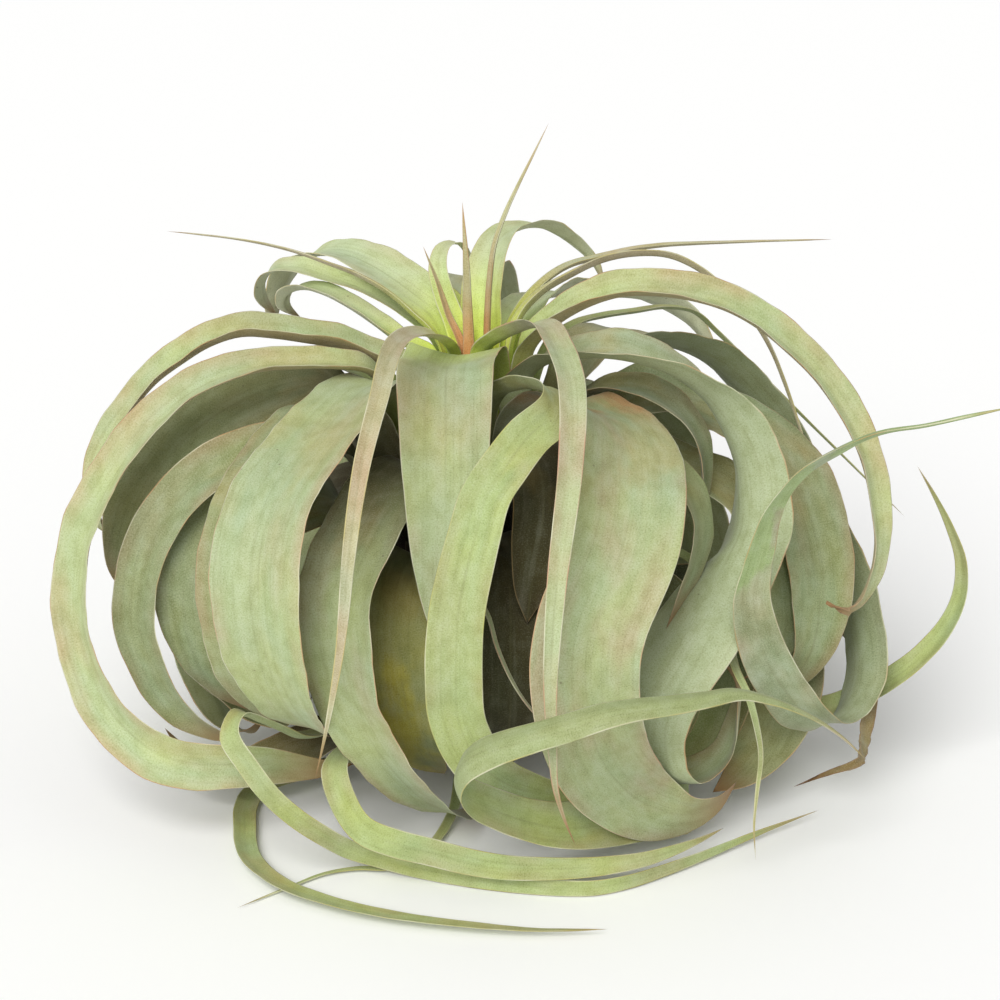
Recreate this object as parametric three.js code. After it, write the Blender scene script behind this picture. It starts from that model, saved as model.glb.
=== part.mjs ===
// Air plant: a large silvery rosette of broad, channelled leaves that arch out, fall and curl.
// Millimetres, +Z up. The origin is the middle of the stem's flat foot, on the surface it rests on.
// Every leaf is a closed blade of its own, thick along its midrib and thin at its margins, and is
// seated on the short woody stem. Its midrib follows a few points chosen by eye.
import * as THREE from "three";

// ---- driving dimensions, mm unless a comment says otherwise
const STEM_PROFILE = [[0, 0], [20, 0], [25, 8], [28, 30], [29, 70], [26, 105], [19, 132], [11, 148],
  [5, 157], [0, 159]];         // radius and height, foot to top
const STEM_SIDES = 36;
const STEM_TOP = 160;
const SEAT_GAP = 0.3;          // leaf base to stem
const STEM_CLEAR = 1;          // the rest of a leaf to the stem
const LEAF_GAP = 1;            // leaf face to leaf face
const FLOOR_GAP = 0.3;         // leaf to the surface the plant rests on
const STATION_STEP = 14;       // length of blade between two sections
const STATIONS_LEAST = 9;
const STATIONS_MOST = 30;
const CARRY_STEPS = 6;         // steps between sections in which the blade's direction is carried on
const SEAT_SHARE = 0.5;        // a leaf's width on the stem, as a share of its full width
const SEAT_RUN = 0.16;         // share of the length over which it widens
const SEAT_FOLD = 0.25;        // channel angle on the stem, radians, which hugs the stem
const FOLD_RUN = 0.12;         // share of the length over which it takes on its own channel angle
const SEAT_SLOPE = [30, 78];   // rise off the stem in degrees, at its foot and at its top
const SEAT_LIFT = 9;           // how far a leaf follows that rise
const SEAT_PASSES = 8;         // times the seat is worked out again until its base clears the stem
const SEAT_SAMPLES = 8;        // places across half a base where the gap to the stem is measured
const TIP_THIN = 0.5;          // thickness lost from base to tip, as a share
const TIP_OPEN = 0.3;          // channel angle lost from base to tip, as a share
const TWIST_SWEEPS = 150;
const TWIST_PULL = 0.12;       // how strongly a bend turns the blade flat to it
const TWIST_STEP = 0.2;        // furthest such a turn in one sweep, radians
const TWIST_EASE = 0.6;        // share of the way a section turns in one sweep
const PRESS_ROUNDS = 120;      // rounds of leaves pressing each other apart
const PRESS_REACH = 9;         // how deep two blades may cross and still be bent clear
const PRESS_STEP = 1.2;        // furthest that one round moves a section
const BOX_MARGIN = 3;          // added round a leaf's box before two leaves count as apart
const PRESS_RIM = 2;           // how near a point may pass outside a margin and still be pressed
const PRESS_KEEP = 0.6;        // share of a push that stays with its section, not its neighbours
const PRESS_SPREADS = 2;       // times a push is shared out like that
const PRESS_EVEN = 0.2;        // share by which neighbouring sections even out how far they have moved
const SEATED_SECTIONS = 0.5;   // sections from the stem that never move
const FREE_SECTIONS = 4;       // sections from the stem at which a blade gives way fully
const END_SLACK = 0.15;        // share of a stretch by which a point may be past its end
const END_MISS = 20;           // how much further off such a point counts
const ACROSS = [-1, -0.5, 0, 0.5, 1]; // where a section is sampled, from margin to margin

// ---- leaves behind, spread over a sector: each arches out, falls and curls in
const REAR_COUNT = 9;
const REAR_SECTOR = [10, 176]; // headings, degrees
const REAR_STEP = 0.35;        // share of the sector from one to the next
const REAR_SEATS = [134, 26];  // youngest and oldest
const REAR_REACH = 131;
const REAR_REACH_VARIES = 40;
const REAR_BEAT = 2.4;         // radians from one leaf to the next in that variation
const REAR_CRESTS = [42, 17];  // rise above the seat, youngest and oldest
const REAR_WIDTHS = [38, 48];
const REAR_THICK = 2.4;
const REAR_CHANNEL = 20;       // degrees
const REAR_TAPER = 4;
const REAR_NECK = 0.38;        // share of the length over which the blade widens
// Shares of the reach outward and aside, then the share of the crest's height and mm above that.
const REAR_SHAPE = [[0.42, 0, 1, -4], [0.7, 0.04, 1, -6], [0.92, 0.1, 0.72, 0], [1, 0.2, 0.42, 0],
  [0.88, 0.34, 0, 25], [0.66, 0.46, 0, 12], [0.54, 0.46, 0, 24]];

// ---- leaves seen from the front: name, heading round the stem in degrees, height of the seat,
// width, thickness, channel angle in degrees, taper, then the midrib's points from the stem to the
// tip. A higher taper keeps the blade wide for longer. A fourth value on a point turns the blade
// about its midrib there, in degrees. A last value, if any, is the share of the length over which
// the blade widens.
const FRONT_LEAVES = [
  // the young crown: narrow spikes and hooks
  ["spike_tall", 20, 153, 7, 1.2, 30, 2, [[8, 3, 178], [9, 4, 208], [11, 5, 221], [17, 6, 237],
    [23, 7, 250], [31, 8, 267]]],
  ["spike_mid", 255, 154, 6, 1.2, 30, 2, [[-2, -8, 180], [-2, -7, 198], [-2, -5, 215], [-3, -2, 238]]],
  ["spike_short", 140, 153, 6, 1.2, 30, 2, [[-5, 5, 175], [-10, 7, 189], [-14, 9, 203], [-19, 10, 217]]],
  ["inner_hook", 105, 153, 10, 1.5, 25, 3, [[-3, 7, 173], [-6, 13, 183], [-11, 20, 195], [-13, 27, 204],
    [-11, 35, 208], [-6, 43, 208], [-1, 50, 200], [3, 54, 189]]],
  ["inner_back", 72, 150, 20, 1.8, 25, 3, [[5, 15, 173], [5, 25, 185], [7, 34, 195], [10, 44, 203],
    [18, 56, 205], [28, 68, 202], [38, 80, 193], [47, 88, 183], [55, 92, 172], [60, 90, 159]]],
  ["back_broad", 50, 136, 28, 1.8, 25, 4, [[16, 24, 175], [24, 46, 183], [33, 70, 184], [51, 92, 180],
    [69, 108, 175], [87, 120, 163], [101, 122, 149], [107, 115, 132]]],
  // to the right: long arms, an arch with a curled tip and broad sweeping blades
  ["arm_long_right", 30, 150, 8, 1.3, 35, 2, [[19, 13, 181], [28, 22, 192], [37, 30, 198], [46, 36, 201],
    [55, 40, 202], [67, 44, 204], [82, 48, 205], [102, 52, 205], [129, 56, 205], [150, 58, 205]]],
  ["arm_drop_right", 8, 145, 9, 1.5, 35, 2, [[22, 4, 184], [31, 12, 194], [42, 18, 200], [52, 24, 204],
    [65, 30, 206], [79, 32, 206], [90, 32, 202], [99, 30, 197], [108, 28, 189], [117, 24, 180],
    [124, 18, 169], [130, 10, 155], [137, 2, 136], [141, -6, 119], [143, -10, 110]]],
  ["arch_right", -12, 138, 22, 2.2, 38, 6, [[26, -7, 181], [36, -10, 192], [46, -12, 199], [58, -14, 204],
    [71, -15, 205, 15], [88, -16, 203], [106, -18, 197, 18], [121, -22, 187], [135, -28, 175, 20],
    [145, -34, 162], [153, -40, 147], [157, -46, 131, 20], [159, -50, 115], [157, -54, 102, 15],
    [153, -58, 94], [148, -62, 91], [142, -66, 93], [138, -68, 96]]],
  ["sweep_right", 20, 112, 42, 3, 15, 1.5, [[49, 20, 170], [69, 30, 170], [90, 34, 165], [107, 34, 154],
    [122, 28, 136], [134, 16, 119], [143, 2, 102], [152, -12, 86], [157, -26, 70], [156, -38, 58],
    [148, -52, 51], [136, -66, 52], [120, -84, 71], [109, -94, 94], [105, -98, 114], [108, -98, 132],
    [111, -98, 145], [116, -98, 155], [124, -98, 164], [135, -100, 172], [146, -103, 179],
    [168, -110, 186], [191, -116, 194], [197, -118, 196]]],
  ["layer_right", 4, 92, 38, 2.5, 15, 6, [[68, -4, 157], [89, 0, 149], [107, -2, 142], [120, -8, 135],
    [128, -16, 123, 30], [133, -26, 110], [136, -36, 96, 35], [136, -44, 78, 35], [133, -48, 65],
    [126, -50, 54], [114, -46, 44]]],
  ["inner_right", -14, 72, 30, 2.2, 15, 6, [[68, -14, 139], [88, -18, 132], [105, -24, 126],
    [117, -32, 114, 30], [124, -40, 102], [126, -48, 89, 35], [125, -54, 76], [119, -58, 66],
    [109, -56, 58]]],
  ["curl_right", -38, 128, 42, 2.6, 26, 5, [[21, -15, 175], [30, -22, 181], [41, -30, 186],
    [54, -36, 188], [70, -40, 185], [85, -42, 177], [95, -45, 165], [101, -50, 155], [103, -58, 144],
    [102, -70, 132], [94, -84, 122], [87, -92, 112], [80, -98, 102, -100], [73, -102, 90],
    [67, -104, 78, -112], [64, -104, 64, -104], [67, -100, 47], [74, -94, 35], [83, -88, 30],
    [93, -82, 31], [101, -77, 37], [104, -74, 47], [105, -72, 57], [104, -70, 66], [99, -68, 72],
    [96, -66, 74]], 0.5],
  // in front: broad blades and a ribbon that fall and cross
  ["broad_front_right", -50, 114, 42, 2.4, 15, 8, [[37, -34, 170], [50, -50, 174], [59, -66, 174],
    [61, -80, 168], [61, -98, 159, 0], [59, -110, 148], [54, -120, 135], [48, -125, 123],
    [44, -130, 111, 0], [43, -132, 98], [44, -130, 81], [48, -124, 62, -15], [56, -112, 43],
    [69, -98, 26, -40], [84, -91, 19], [97, -84, 21], [104, -76, 25]]],
  ["hang_right", -62, 150, 14, 1.6, 28, 2, [[5, -8, 176], [10, -15, 184], [17, -24, 191], [24, -36, 198],
    [29, -50, 202], [34, -72, 200], [37, -88, 197], [38, -100, 192], [38, -110, 184], [37, -120, 174],
    [36, -128, 165], [33, -139, 145], [31, -147, 124], [30, -151, 101], [31, -152, 75], [33, -150, 55],
    [40, -146, 33]]],
  ["broad_front", -100, 140, 40, 1.4, 14, 3, [[-3, -16, 178], [-6, -28, 180], [-8, -46, 181],
    [-8, -66, 173], [-8, -78, 164], [-8, -90, 148], [-8, -99, 132], [-7, -105, 114], [-4, -106, 92],
    [-2, -100, 70]]],
  ["ribbon_front", -79, 117, 25, 2.2, 18, 6, [[6, -32, 161], [14, -46, 171], [23, -60, 177],
    [30, -71, 178], [32, -78, 176], [29, -86, 174], [22, -94, 171], [15, -103, 165, 5], [8, -110, 158],
    [4, -116, 148], [1, -120, 137], [-2, -122, 125], [-4, -124, 113, 5], [-5, -125, 95], [-4, -122, 73],
    [0, -119, 61, -15], [8, -113, 46], [21, -104, 34, -45], [36, -95, 26], [51, -86, 23], [65, -74, 21]],
    0.8],
  ["tail_cross", -44, 22, 22, 2.2, 16, 2.2, [[88, -70, 11], [71, -88, 14, -40], [51, -104, 18],
    [33, -116, 24, -40], [21, -124, 31], [9, -132, 40], [-1, -140, 50], [-4, -149, 63], [-1, -154, 71],
    [4, -158, 77], [14, -161, 83], [26, -163, 88, -40], [40, -164, 93], [55, -160, 96],
    [70, -152, 94, -40], [88, -142, 92], [100, -134, 90], [113, -128, 84], [125, -122, 76],
    [138, -116, 65], [151, -110, 50]]],
  ["broad_front_left", -123, 119, 40, 3, 15, 8, [[-31, -31, 171], [-40, -44, 171], [-48, -60, 167],
    [-58, -82, 162], [-70, -104, 151], [-75, -116, 136], [-76, -121, 120], [-75, -120, 99],
    [-72, -113, 79], [-67, -104, 63], [-61, -90, 51], [-53, -76, 44]]],
  ["layer_front_left", -140, 97, 34, 3, 12, 8, [[-49, -30, 164], [-65, -52, 162], [-74, -66, 153],
    [-80, -78, 143], [-85, -86, 128], [-85, -90, 112], [-82, -90, 93], [-78, -84, 75], [-71, -74, 58],
    [-61, -60, 45]]],
  ["under_front_left", -116, 90, 34, 2.8, 15, 8, [[-17, -40, 141], [-26, -60, 144], [-33, -76, 140],
    [-41, -96, 131], [-47, -108, 120], [-48, -113, 108], [-47, -114, 92], [-44, -112, 74],
    [-39, -110, 61], [-32, -106, 46], [-22, -98, 29], [-12, -88, 16], [-3, -74, 7], [8, -60, 4]], 0.3],
  ["hang_left", -128, 153, 10, 1.6, 28, 2, [[-5, -8, 174], [-8, -14, 180], [-11, -24, 188],
    [-15, -36, 194], [-21, -50, 199], [-26, -64, 201], [-29, -78, 200], [-31, -90, 195], [-33, -102, 188],
    [-36, -112, 180], [-40, -126, 161], [-43, -138, 137], [-45, -143, 116], [-48, -144, 97],
    [-52, -143, 76], [-56, -140, 58]]],
  // to the left: arches and loops, one inside another
  ["arch_left_high", -170, 120, 24, 2, 38, 4, [[-21, -4, 174], [-34, -5, 180], [-47, -8, 186],
    [-59, -11, 188], [-77, -14, 190], [-92, -18, 190], [-107, -22, 183], [-122, -28, 174],
    [-134, -34, 162], [-143, -40, 151], [-148, -44, 140], [-149, -46, 128], [-148, -44, 118],
    [-140, -36, 109], [-133, -26, 100]]],
  ["loop_left", -163, 110, 25, 2.4, 32, 10, [[-38, -21, 169], [-49, -26, 175], [-66, -31, 178],
    [-83, -36, 179], [-96, -42, 177], [-107, -46, 173], [-118, -50, 165], [-126, -53, 157],
    [-135, -56, 145], [-143, -60, 131], [-148, -63, 119, -8], [-150, -66, 105], [-151, -68, 91],
    [-149, -71, 80], [-144, -76, 65, -20], [-138, -80, 55], [-132, -83, 49], [-125, -86, 44, -40],
    [-115, -88, 39], [-101, -88, 37, -45], [-86, -84, 35], [-73, -76, 30], [-59, -70, 26],
    [-46, -63, 24]], 0.5],
  ["deep_left", 178, 98, 32, 2.4, 15, 8, [[-58, -2, 159], [-72, -6, 161], [-83, -12, 160],
    [-93, -16, 157, -35], [-105, -22, 151], [-114, -26, 144, -40], [-122, -30, 133],
    [-128, -32, 121, -40], [-131, -34, 111], [-133, -36, 99], [-130, -36, 83]]],
  ["cup_left", -160, 86, 21, 2.6, 28, 10, [[-49, -30, 146], [-60, -36, 151], [-69, -42, 154],
    [-82, -48, 154], [-94, -52, 150], [-106, -54, 142, -35], [-115, -56, 132], [-122, -58, 121, -40],
    [-127, -60, 107], [-129, -62, 93, -40], [-129, -62, 81], [-126, -64, 72], [-122, -64, 60, -40],
    [-113, -64, 47], [-104, -62, 39], [-90, -56, 30]], 0.4],
  ["round_left", -152, 68, 46, 2.2, 12, 6, [[-55, -34, 126], [-70, -44, 132], [-83, -50, 131, -30],
    [-93, -56, 123], [-101, -60, 108, -45], [-103, -62, 91, -45], [-100, -62, 74], [-94, -56, 53],
    [-88, -48, 40]]],
  ["curl_low_left", -142, 52, 18, 2.4, 15, 5, [[-65, -74, 100], [-79, -82, 93], [-90, -86, 89],
    [-96, -89, 81], [-98, -90, 70], [-96, -88, 58], [-90, -82, 46], [-82, -70, 37]]],
  // low and trailing: thin old leaves along the floor and a few that droop or curl
  ["trail_front_a", -136, 38, 9, 1.8, 20, 4, [[-59, -64, 43], [-73, -82, 58], [-84, -97, 70],
    [-89, -105, 70], [-87, -111, 63], [-79, -117, 51], [-71, -119, 39], [-60, -117, 27], [-47, -112, 14],
    [-30, -110, 6], [-11, -117, 4], [12, -124, 4], [35, -128, 4], [52, -127, 4], [69, -118, 4],
    [90, -103, 4], [115, -83, 4], [140, -65, 4]]],
  ["trail_front_b", -115, 25, 12, 2.4, 20, 4, [[-28, -60, 33], [-45, -80, 39], [-50, -92, 39],
    [-49, -98, 33], [-46, -104, 28], [-40, -110, 21], [-28, -116, 18], [-11, -116, 13], [7, -118, 9],
    [31, -119, 8], [50, -117, 8], [66, -112, 8], [86, -99, 8], [99, -87, 8]]],
  ["trail_front_c", -150, 16, 10, 2, 20, 4, [[-57, -39, 11], [-72, -38, 7], [-84, -41, 3], [-90, -54, 3],
    [-90, -71, 3], [-85, -103, 3], [-71, -124, 3], [-57, -134, 3], [-41, -142, 3], [-23, -148, 3],
    [1, -153, 3], [25, -156, 3], [52, -155, 3]]],
  ["trail_front_d", -96, 14, 5, 1.6, 20, 2, [[-6, -62, 5], [-16, -92, 2], [-27, -106, 2], [-38, -108, 2],
    [-48, -107, 2], [-65, -118, 2], [-87, -136, 2]]],
  ["trail_right", -10, 34, 15, 1.8, 25, 3, [[95, -20, 22], [119, -24, 23, 30], [135, -26, 27],
    [146, -28, 30], [157, -30, 36], [168, -32, 44, 35], [179, -32, 52], [188, -30, 62], [196, -26, 72],
    [199, -22, 84, 35], [198, -18, 97], [193, -14, 108], [187, -10, 119], [180, -8, 130]]],
  ["thin_back_right", 38, 118, 8, 1.6, 25, 2, [[37, 40, 167], [71, 64, 171], [93, 76, 168],
    [106, 80, 156], [124, 80, 138], [142, 76, 121], [163, 68, 102], [187, 60, 80]]],
  ["under_right", 4, 36, 36, 2.6, 15, 7, [[60, -2, 54], [88, -6, 62], [108, -12, 64], [121, -20, 58, 35],
    [128, -31, 47], [128, -43, 36, 35], [123, -55, 26], [112, -67, 17, 35], [98, -76, 12]]],
  ["hang_low_right", -26, 70, 7, 1.6, 25, 2, [[66, -36, 108], [88, -50, 108], [97, -64, 98],
    [100, -72, 83], [106, -84, 72], [109, -92, 62], [111, -99, 55], [110, -106, 52], [109, -112, 43],
    [108, -116, 32], [109, -120, 15]]],
  ["dry_tip_right", 14, 52, 13, 1.8, 25, 3, [[90, 22, 66], [130, 14, 62], [150, -4, 58], [157, -26, 54],
    [155, -46, 49], [152, -62, 45], [150, -76, 44], [149, -88, 44], [146, -95, 44], [138, -99, 43],
    [130, -103, 41], [122, -106, 39]]],
  // inside, seen between the broad blades
  ["inner_front_a", -122, 72, 30, 2.6, 12, 7, [[-19, -50, 107], [-23, -66, 107], [-25, -80, 103],
    [-26, -90, 91], [-25, -94, 74], [-22, -92, 55], [-18, -82, 36], [-10, -66, 21]], 0.3],
  ["inner_front_b", -74, 57, 34, 2.6, 12, 7, [[7, -42, 112], [12, -60, 117], [15, -76, 114],
    [16, -88, 100], [16, -92, 83], [16, -90, 63], [15, -78, 40], [15, -64, 24]], 0.3],
  ["inner_front_c", -98, 40, 7, 1.6, 20, 2, [[-8, -60, 68], [-6, -84, 101], [-1, -95, 114],
    [5, -100, 110], [11, -106, 94], [19, -108, 77], [28, -105, 64], [41, -97, 50]]],
  ["inner_front_d", -66, 92, 30, 2.4, 15, 6, [[12, -34, 151], [22, -54, 154], [26, -70, 148],
    [26, -82, 137], [23, -88, 119], [21, -88, 98]]],
  ["inner_right_a", -12, 100, 24, 2.4, 20, 5, [[40, -8, 154], [52, -16, 164], [65, -24, 166],
    [76, -30, 163], [86, -34, 154], [90, -37, 141], [90, -41, 127], [86, -46, 112]]],
  ["inner_right_b", -36, 86, 28, 2.4, 15, 5, [[44, -30, 134], [64, -44, 144], [81, -54, 141],
    [90, -60, 130], [92, -66, 116], [88, -70, 100], [82, -72, 82]]],
  ["nest_right_a", -44, 66, 28, 2.2, 15, 6, [[50, -42, 90], [64, -50, 96], [75, -55, 90, 30],
    [81, -58, 76], [83, -61, 60, 35], [81, -65, 44], [75, -69, 34, 35], [66, -72, 30]], 0.4],
  ["nest_right_b", -12, 48, 32, 2.2, 15, 6, [[62, -18, 68], [80, -26, 78], [92, -34, 78, 30],
    [98, -42, 68], [100, -47, 54, 35], [97, -52, 38], [90, -56, 26, 35], [80, -60, 15], [66, -64, 10]],
    0.4],
  // left of the crown, and one low leaf
  ["crown_left_broad", 114, 146, 28, 2.2, 20, 5, [[-7, 17, 180], [-15, 25, 185], [-28, 36, 191],
    [-42, 48, 195], [-56, 60, 195], [-69, 72, 189], [-78, 82, 178], [-84, 88, 165], [-85, 88, 149]], 0.3],
  ["crown_left_pink", 172, 152, 7, 1.4, 30, 2, [[-12, 4, 173], [-18, 7, 176], [-25, 10, 182],
    [-36, 14, 191], [-48, 18, 198], [-61, 22, 203], [-73, 26, 207], [-91, 30, 211], [-110, 34, 213],
    [-124, 36, 214]]],
  ["crown_left_hook", 153, 133, 16, 1.8, 25, 5, [[-16, 11, 170], [-20, 15, 177], [-31, 24, 185],
    [-45, 34, 191], [-62, 44, 195], [-75, 50, 197], [-85, 58, 193], [-89, 66, 184], [-89, 76, 174],
    [-84, 84, 164]], 0.6],
  ["crown_left_low", 182, 145, 15, 2, 30, 5, [[-16, -1, 171], [-26, 4, 175], [-40, 16, 181],
    [-55, 28, 187], [-68, 40, 188], [-77, 52, 182], [-79, 62, 173], [-73, 72, 165]]],
  ["low_left", -176, 34, 24, 2.2, 20, 5, [[-40, -12, 12], [-57, -24, 10], [-74, -36, 9, -35],
    [-90, -46, 8], [-104, -52, 12, -35], [-115, -54, 22], [-122, -54, 34]]],
];

const rad = THREE.MathUtils.degToRad;
const { clamp, lerp, smoothstep } = THREE.MathUtils;
const radial = (heading) => new THREE.Vector3(Math.cos(heading), Math.sin(heading), 0);

function stemRadius(z) {
  for (let k = 1; k < STEM_PROFILE.length; k++) {
    const [r0, z0] = STEM_PROFILE[k - 1];
    const [r1, z1] = STEM_PROFILE[k];
    if (z <= z1 && z1 > z0) return r0 + (r1 - r0) * Math.max(0, (z - z0) / (z1 - z0));
  }
  return 0;
}

// Points along a rear leaf's midrib; way is 1 or -1 for the side it swings to.
function rearRoute(heading, reach, crest, way) {
  const out = radial(heading);
  const aside = new THREE.Vector3(-out.y, out.x, 0).multiplyScalar(way);
  return REAR_SHAPE.map(([far, swing, share, more]) => {
    const p = out.clone().multiplyScalar(far * reach).addScaledVector(aside, swing * reach);
    return [p.x, p.y, share * crest + more];
  });
}

function rearLeaves() {
  return Array.from({ length: REAR_COUNT }, (_, k) => {
    const heading = lerp(...REAR_SECTOR, (0.5 + k * REAR_STEP) % 1);
    const age = k / (REAR_COUNT - 1);
    const seat = lerp(...REAR_SEATS, age);
    const reach = REAR_REACH + REAR_REACH_VARIES * Math.sin(REAR_BEAT * k + 1);
    const crest = seat + lerp(...REAR_CRESTS, age);
    const route = rearRoute(rad(heading), reach, crest, k % 2 ? 1 : -1);
    const name = `rear_${String(k + 1).padStart(2, "0")}`;
    const width = lerp(...REAR_WIDTHS, age);
    return [name, heading, seat, width, REAR_THICK, REAR_CHANNEL, REAR_TAPER, route, REAR_NECK];
  });
}

// The blade's half width: narrow on the stem, widest a little way out, then a long taper.
function halfWidth(leaf, t) {
  const base = lerp(SEAT_SHARE, 1, smoothstep(t, 0, leaf.neck));
  return leaf.width / 2 * base * (1 - t ** leaf.taper);
}

// A blade bends across its flat rather than edgeways: each section turns about the midrib until
// the bend is square to its width, as far as the twist from its neighbours allows.
function turnToBend(stations, width) {
  const last = stations.length - 1;
  for (let sweep = 0; sweep < TWIST_SWEEPS; sweep++) {
    for (let i = 1; i <= last; i++) {
      const here = stations[i];
      if (here.fixedTurn !== null) {
        here.turn = here.fixedTurn;
        continue;
      }
      const next = stations[Math.min(i + 1, last)];
      const cos = Math.cos(here.turn);
      const sin = Math.sin(here.turn);
      const edgeways = here.bendSide * cos + here.bendUp * sin;
      const pull = TWIST_PULL * width ** 2 * edgeways * (here.bendUp * cos - here.bendSide * sin);
      const even = (stations[i - 1].turn + next.turn) / 2;
      here.turn += TWIST_EASE * (even - clamp(pull, -TWIST_STEP, TWIST_STEP) - here.turn);
    }
  }
}

// Sections along the midrib: centre, side (across the blade) and up (out of its upper face).
function makeStations(leaf) {
  const out = radial(leaf.heading);
  const points = [leaf.start, leaf.start.clone().addScaledVector(leaf.rise, SEAT_LIFT)];
  for (const [x, y, z] of leaf.route) points.push(new THREE.Vector3(x, y, z));
  const curve = new THREE.CatmullRomCurve3(points, false, "centripetal");
  curve.arcLengthDivisions = 400;
  const length = curve.getLength();
  const count = Math.round(clamp(length / STATION_STEP, STATIONS_LEAST, STATIONS_MOST));
  const total = count * CARRY_STEPS;
  const side = new THREE.Vector3(-out.y, out.x, 0);
  const stations = [];
  let tangent = leaf.rise;
  for (let k = 0; k <= total; k++) {
    const t = k / total;
    const next = k ? curve.getTangentAt(t) : leaf.rise;
    side.applyQuaternion(new THREE.Quaternion().setFromUnitVectors(tangent, next));
    side.addScaledVector(next, -side.dot(next)).normalize();
    tangent = next;
    if (k % CARRY_STEPS) continue;
    const up = tangent.clone().cross(side);
    const ahead = curve.getTangentAt(Math.min(1, t + 0.5 / count));
    const behind = curve.getTangentAt(Math.max(0, t - 0.5 / count));
    const bend = ahead.sub(behind).multiplyScalar(count / length);
    stations.push({ t, centre: curve.getPointAt(t), tangent: tangent.clone(), side: side.clone(), up,
      bendSide: bend.dot(side), bendUp: bend.dot(up), turn: 0, fixedTurn: k ? null : 0,
      half: halfWidth(leaf, t), thick: leaf.thick * (1 - TIP_THIN * t), fold: 0 });
  }
  for (const [x, y, z, turn] of leaf.route) {
    if (turn === undefined) continue;
    const at = new THREE.Vector3(x, y, z);
    const near = stations.reduce((a, b) => a.centre.distanceTo(at) < b.centre.distanceTo(at) ? a : b);
    near.fixedTurn = rad(turn);
  }
  turnToBend(stations, leaf.width);
  for (const s of stations) {
    s.side.applyAxisAngle(s.tangent, s.turn);
    s.up.applyAxisAngle(s.tangent, s.turn);
    s.fold = lerp(SEAT_FOLD, leaf.fold, smoothstep(s.t, 0, FOLD_RUN)) * (1 - TIP_OPEN * s.t);
  }
  return stations;
}

// A point of the blade's middle surface; across runs from -1 to 1 between the margins.
function bladePoint(s, across) {
  return s.centre.clone()
    .addScaledVector(s.side, across * s.half * Math.cos(s.fold))
    .addScaledVector(s.up, Math.abs(across) * s.half * Math.sin(s.fold));
}

// The start of the midrib, moved out until the base section just clears the stem.
function seatOnStem(leaf) {
  const out = radial(leaf.heading);
  const slope = rad(lerp(...SEAT_SLOPE, clamp(leaf.seat / STEM_TOP, 0, 1)));
  const rise = out.clone().multiplyScalar(Math.cos(slope)).setZ(Math.sin(slope));
  const side = new THREE.Vector3(-out.y, out.x, 0);
  const up = rise.clone().cross(side);
  const section = { centre: new THREE.Vector3(), side, up, half: halfWidth(leaf, 0), fold: SEAT_FOLD };
  let radius = stemRadius(leaf.seat) + leaf.thick;
  for (let pass = 0; pass < SEAT_PASSES; pass++) {
    section.centre.copy(out).multiplyScalar(radius).setZ(leaf.seat);
    let clear = Infinity;
    for (let k = -SEAT_SAMPLES; k <= SEAT_SAMPLES; k++) {
      const across = k / SEAT_SAMPLES;
      const flesh = leaf.thick / 2 * (1 - Math.abs(across));
      const p = bladePoint(section, across).addScaledVector(up, flesh);
      clear = Math.min(clear, Math.hypot(p.x, p.y) - stemRadius(p.z));
    }
    radius += SEAT_GAP - clear;
  }
  leaf.start = section.centre;
  leaf.rise = rise;
}

// ---- pressing apart

function between(a, b, f) {
  const s = {};
  for (const key of ["centre", "side", "up"]) s[key] = a[key].clone().lerp(b[key], f);
  for (const key of ["half", "fold", "thick"]) s[key] = lerp(a[key], b[key], f);
  return s;
}

// Where a point stands over the stretch of blade between two sections: how far along it, across it
// and above its face. None if it is past the ends, past the margins or out of reach.
function hitOver(a, b, p) {
  const run = b.centre.clone().sub(a.centre);
  const off = p.clone().sub(a.centre);
  if (off.length() > Math.max(a.half, b.half) + PRESS_REACH + 1.5 * STATION_STEP) return null;
  const f = off.dot(run) / run.lengthSq();
  if (f < -END_SLACK || f > 1 + END_SLACK) return null;
  const s = between(a, b, clamp(f, 0, 1));
  off.copy(p).sub(s.centre);
  const across = off.dot(s.side) / Math.max(0.5, s.half * Math.cos(s.fold));
  const above = (off.dot(s.up) - Math.abs(across) * s.half * Math.sin(s.fold)) * Math.cos(s.fold);
  const rim = 1 + PRESS_RIM / Math.max(1, s.half);
  if (Math.abs(across) > rim || Math.abs(above) > PRESS_REACH) return null;
  const miss = Math.abs(above) + END_MISS * Math.max(0, -f, f - 1);
  return { along: clamp(f, 0, 1), across, above, up: s.up.normalize(), miss };
}

// One hit, the closest, for each part of the blade that the point is level with.
function hitsOver(blade, p) {
  const hits = [];
  let best = null;
  for (let j = 0; j + 1 < blade.stations.length; j++) {
    const hit = hitOver(blade.stations[j], blade.stations[j + 1], p);
    if (!hit && best) hits.push(best);
    if (!hit) best = null;
    else if (!best || hit.miss < best.miss) best = { ...hit, j };
  }
  if (best) hits.push(best);
  return hits;
}

function boxOf(leaf) {
  const points = leaf.stations.flatMap((s) => ACROSS.map((u) => bladePoint(s, u)));
  return new THREE.Box3().setFromPoints(points).expandByScalar(BOX_MARGIN);
}

// Contacts of a narrow blade on a wide one, in groups that lie together on both.
function contactGroups(narrow, wide) {
  const groups = [];
  const last = narrow.stations.length - 1;
  for (let i = 0; i <= last; i += 0.5) {
    const s = between(narrow.stations[Math.floor(i)], narrow.stations[Math.ceil(i)], i % 1);
    if (wide.box.distanceToPoint(s.centre) > s.half + PRESS_RIM) continue;
    for (const u of ACROSS) {
      for (const hit of hitsOver(wide, bladePoint(s, u))) {
        let group = groups.find((g) => g.some((o) => i - o.i <= 1 && Math.abs(o.j - hit.j) <= 1));
        if (!group) groups.push(group = []);
        group.push({ ...hit, i, u, thick: s.thick });
      }
    }
  }
  return groups;
}

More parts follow.
